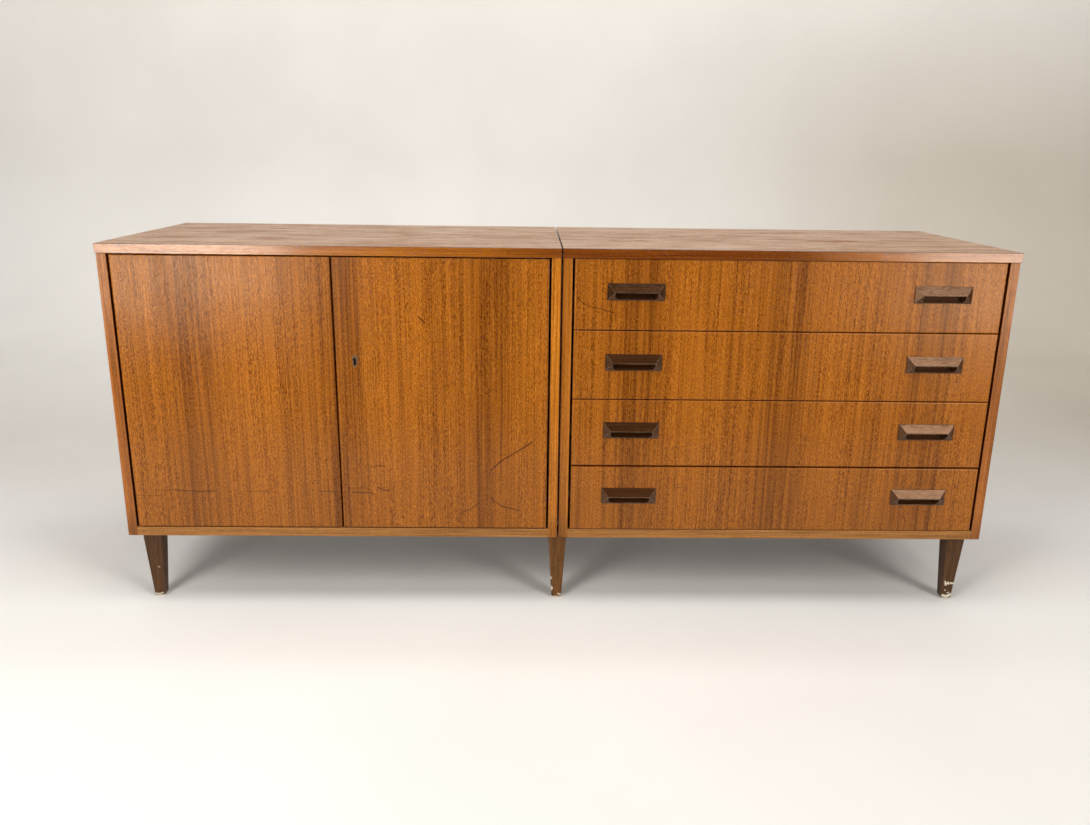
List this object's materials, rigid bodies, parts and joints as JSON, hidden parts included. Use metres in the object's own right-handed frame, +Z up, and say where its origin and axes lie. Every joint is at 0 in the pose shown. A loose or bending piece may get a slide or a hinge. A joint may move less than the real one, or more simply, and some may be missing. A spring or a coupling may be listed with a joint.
{
  "type": "sideboard with drawers and cupboard",
  "caption": "Long low teak sideboard on tapered legs: a lockable cupboard on the left and a chest of drawers with hollowed, hip-roofed wooden pulls on the right.",
  "frame": {"origin": "on the floor under the middle of the object's box", "axes": "+X along the front towards the drawers, +Y from the front to the back, +Z up"},
  "size_m": [1.805, 0.517, 0.76],
  "materials": {
    "faded_top": "sun-faded teak veneer, worn satin",
    "teak_carcass": "oiled teak veneer",
    "teak_front": "oiled teak veneer, upright grain",
    "dark_wood": "dark stained hardwood, satin",
    "beech": "bare beech",
    "drawer_wood": "bare pale wood",
    "panel_board": "thin plywood",
    "steel": "dull zinc-plated",
    "aged_brass": "dull, tarnished",
    "glide_plastic": "beige"
  },
  "bodies": {
    "carcass": {"left_top": "faded_top", "left_outer_side": "teak_carcass", "left_inner_side": "teak_carcass", "left_bottom": "teak_carcass", "left_back": "panel_board", "right_top": "faded_top", "right_outer_side": "teak_carcass", "right_inner_side": "teak_carcass", "right_bottom": "teak_carcass", "right_back": "panel_board", "carcass_tongues": "beech", "cabinet_connectors": "steel", "leg_plates": "steel", "foot_glides": "glide_plastic", "shelf": "teak_carcass", "shelf_cleats": "teak_carcass", "door_stops": "teak_carcass", "hinge_pivots": "steel", "drawer_runners": "beech", "left_front_leg": "dark_wood", "left_rear_leg": "dark_wood", "middle_front_leg": "dark_wood", "middle_rear_leg": "dark_wood", "right_front_leg": "dark_wood", "right_rear_leg": "dark_wood"},
    "left_door": {"left_door": "teak_front", "left_door_sockets": "steel", "lock_strike": "aged_brass", "bolt_guides": "steel"},
    "right_door": {"right_door": "teak_front", "right_door_sockets": "steel", "lock_case": "steel", "keyhole_escutcheon": "aged_brass"},
    "lock_bolt": {"lock_bolt": "steel"},
    "upper_shoot_bolt": {"upper_shoot_bolt": "steel"},
    "lower_shoot_bolt": {"lower_shoot_bolt": "steel"},
    "drawer_1": {"drawer_1_front": "teak_front", "drawer_1_left_side": "drawer_wood", "drawer_1_right_side": "drawer_wood", "drawer_1_back": "drawer_wood", "drawer_1_bottom": "panel_board", "drawer_1_pulls": "dark_wood"},
    "drawer_2": {"drawer_2_front": "teak_front", "drawer_2_left_side": "drawer_wood", "drawer_2_right_side": "drawer_wood", "drawer_2_back": "drawer_wood", "drawer_2_bottom": "panel_board", "drawer_2_pulls": "dark_wood"},
    "drawer_3": {"drawer_3_front": "teak_front", "drawer_3_left_side": "drawer_wood", "drawer_3_right_side": "drawer_wood", "drawer_3_back": "drawer_wood", "drawer_3_bottom": "panel_board", "drawer_3_pulls": "dark_wood"},
    "drawer_4": {"drawer_4_front": "teak_front", "drawer_4_left_side": "drawer_wood", "drawer_4_right_side": "drawer_wood", "drawer_4_back": "drawer_wood", "drawer_4_bottom": "panel_board", "drawer_4_pulls": "dark_wood"}
  },
  "joints": [
    {"name": "left_door_hinge", "type": "hinge", "parent": "carcass", "child": "left_door", "pos_m": [-0.86575, -0.237, 0.173], "axis": [0, 0, -1], "range_deg": [0, 95]},
    {"name": "right_door_hinge", "type": "hinge", "parent": "carcass", "child": "right_door", "pos_m": [-0.03575, -0.237, 0.173], "axis": [0, 0, 1], "range_deg": [0, 95]},
    {"name": "lock_bolt_slide", "type": "slide", "parent": "right_door", "child": "lock_bolt", "axis": [-1, 0, 0], "range_m": [0, 0.009]},
    {"name": "upper_bolt_slide", "type": "slide", "parent": "left_door", "child": "upper_shoot_bolt", "axis": [0, 0, 1], "range_m": [0, 0.012]},
    {"name": "lower_bolt_slide", "type": "slide", "parent": "left_door", "child": "lower_shoot_bolt", "axis": [0, 0, -1], "range_m": [0, 0.012]},
    {"name": "drawer_1_slide", "type": "slide", "parent": "carcass", "child": "drawer_1", "axis": [0, -1, 0], "range_m": [0, 0.33]},
    {"name": "drawer_2_slide", "type": "slide", "parent": "carcass", "child": "drawer_2", "axis": [0, -1, 0], "range_m": [0, 0.33]},
    {"name": "drawer_3_slide", "type": "slide", "parent": "carcass", "child": "drawer_3", "axis": [0, -1, 0], "range_m": [0, 0.33]},
    {"name": "drawer_4_slide", "type": "slide", "parent": "carcass", "child": "drawer_4", "axis": [0, -1, 0], "range_m": [0, 0.33]}
  ]
}
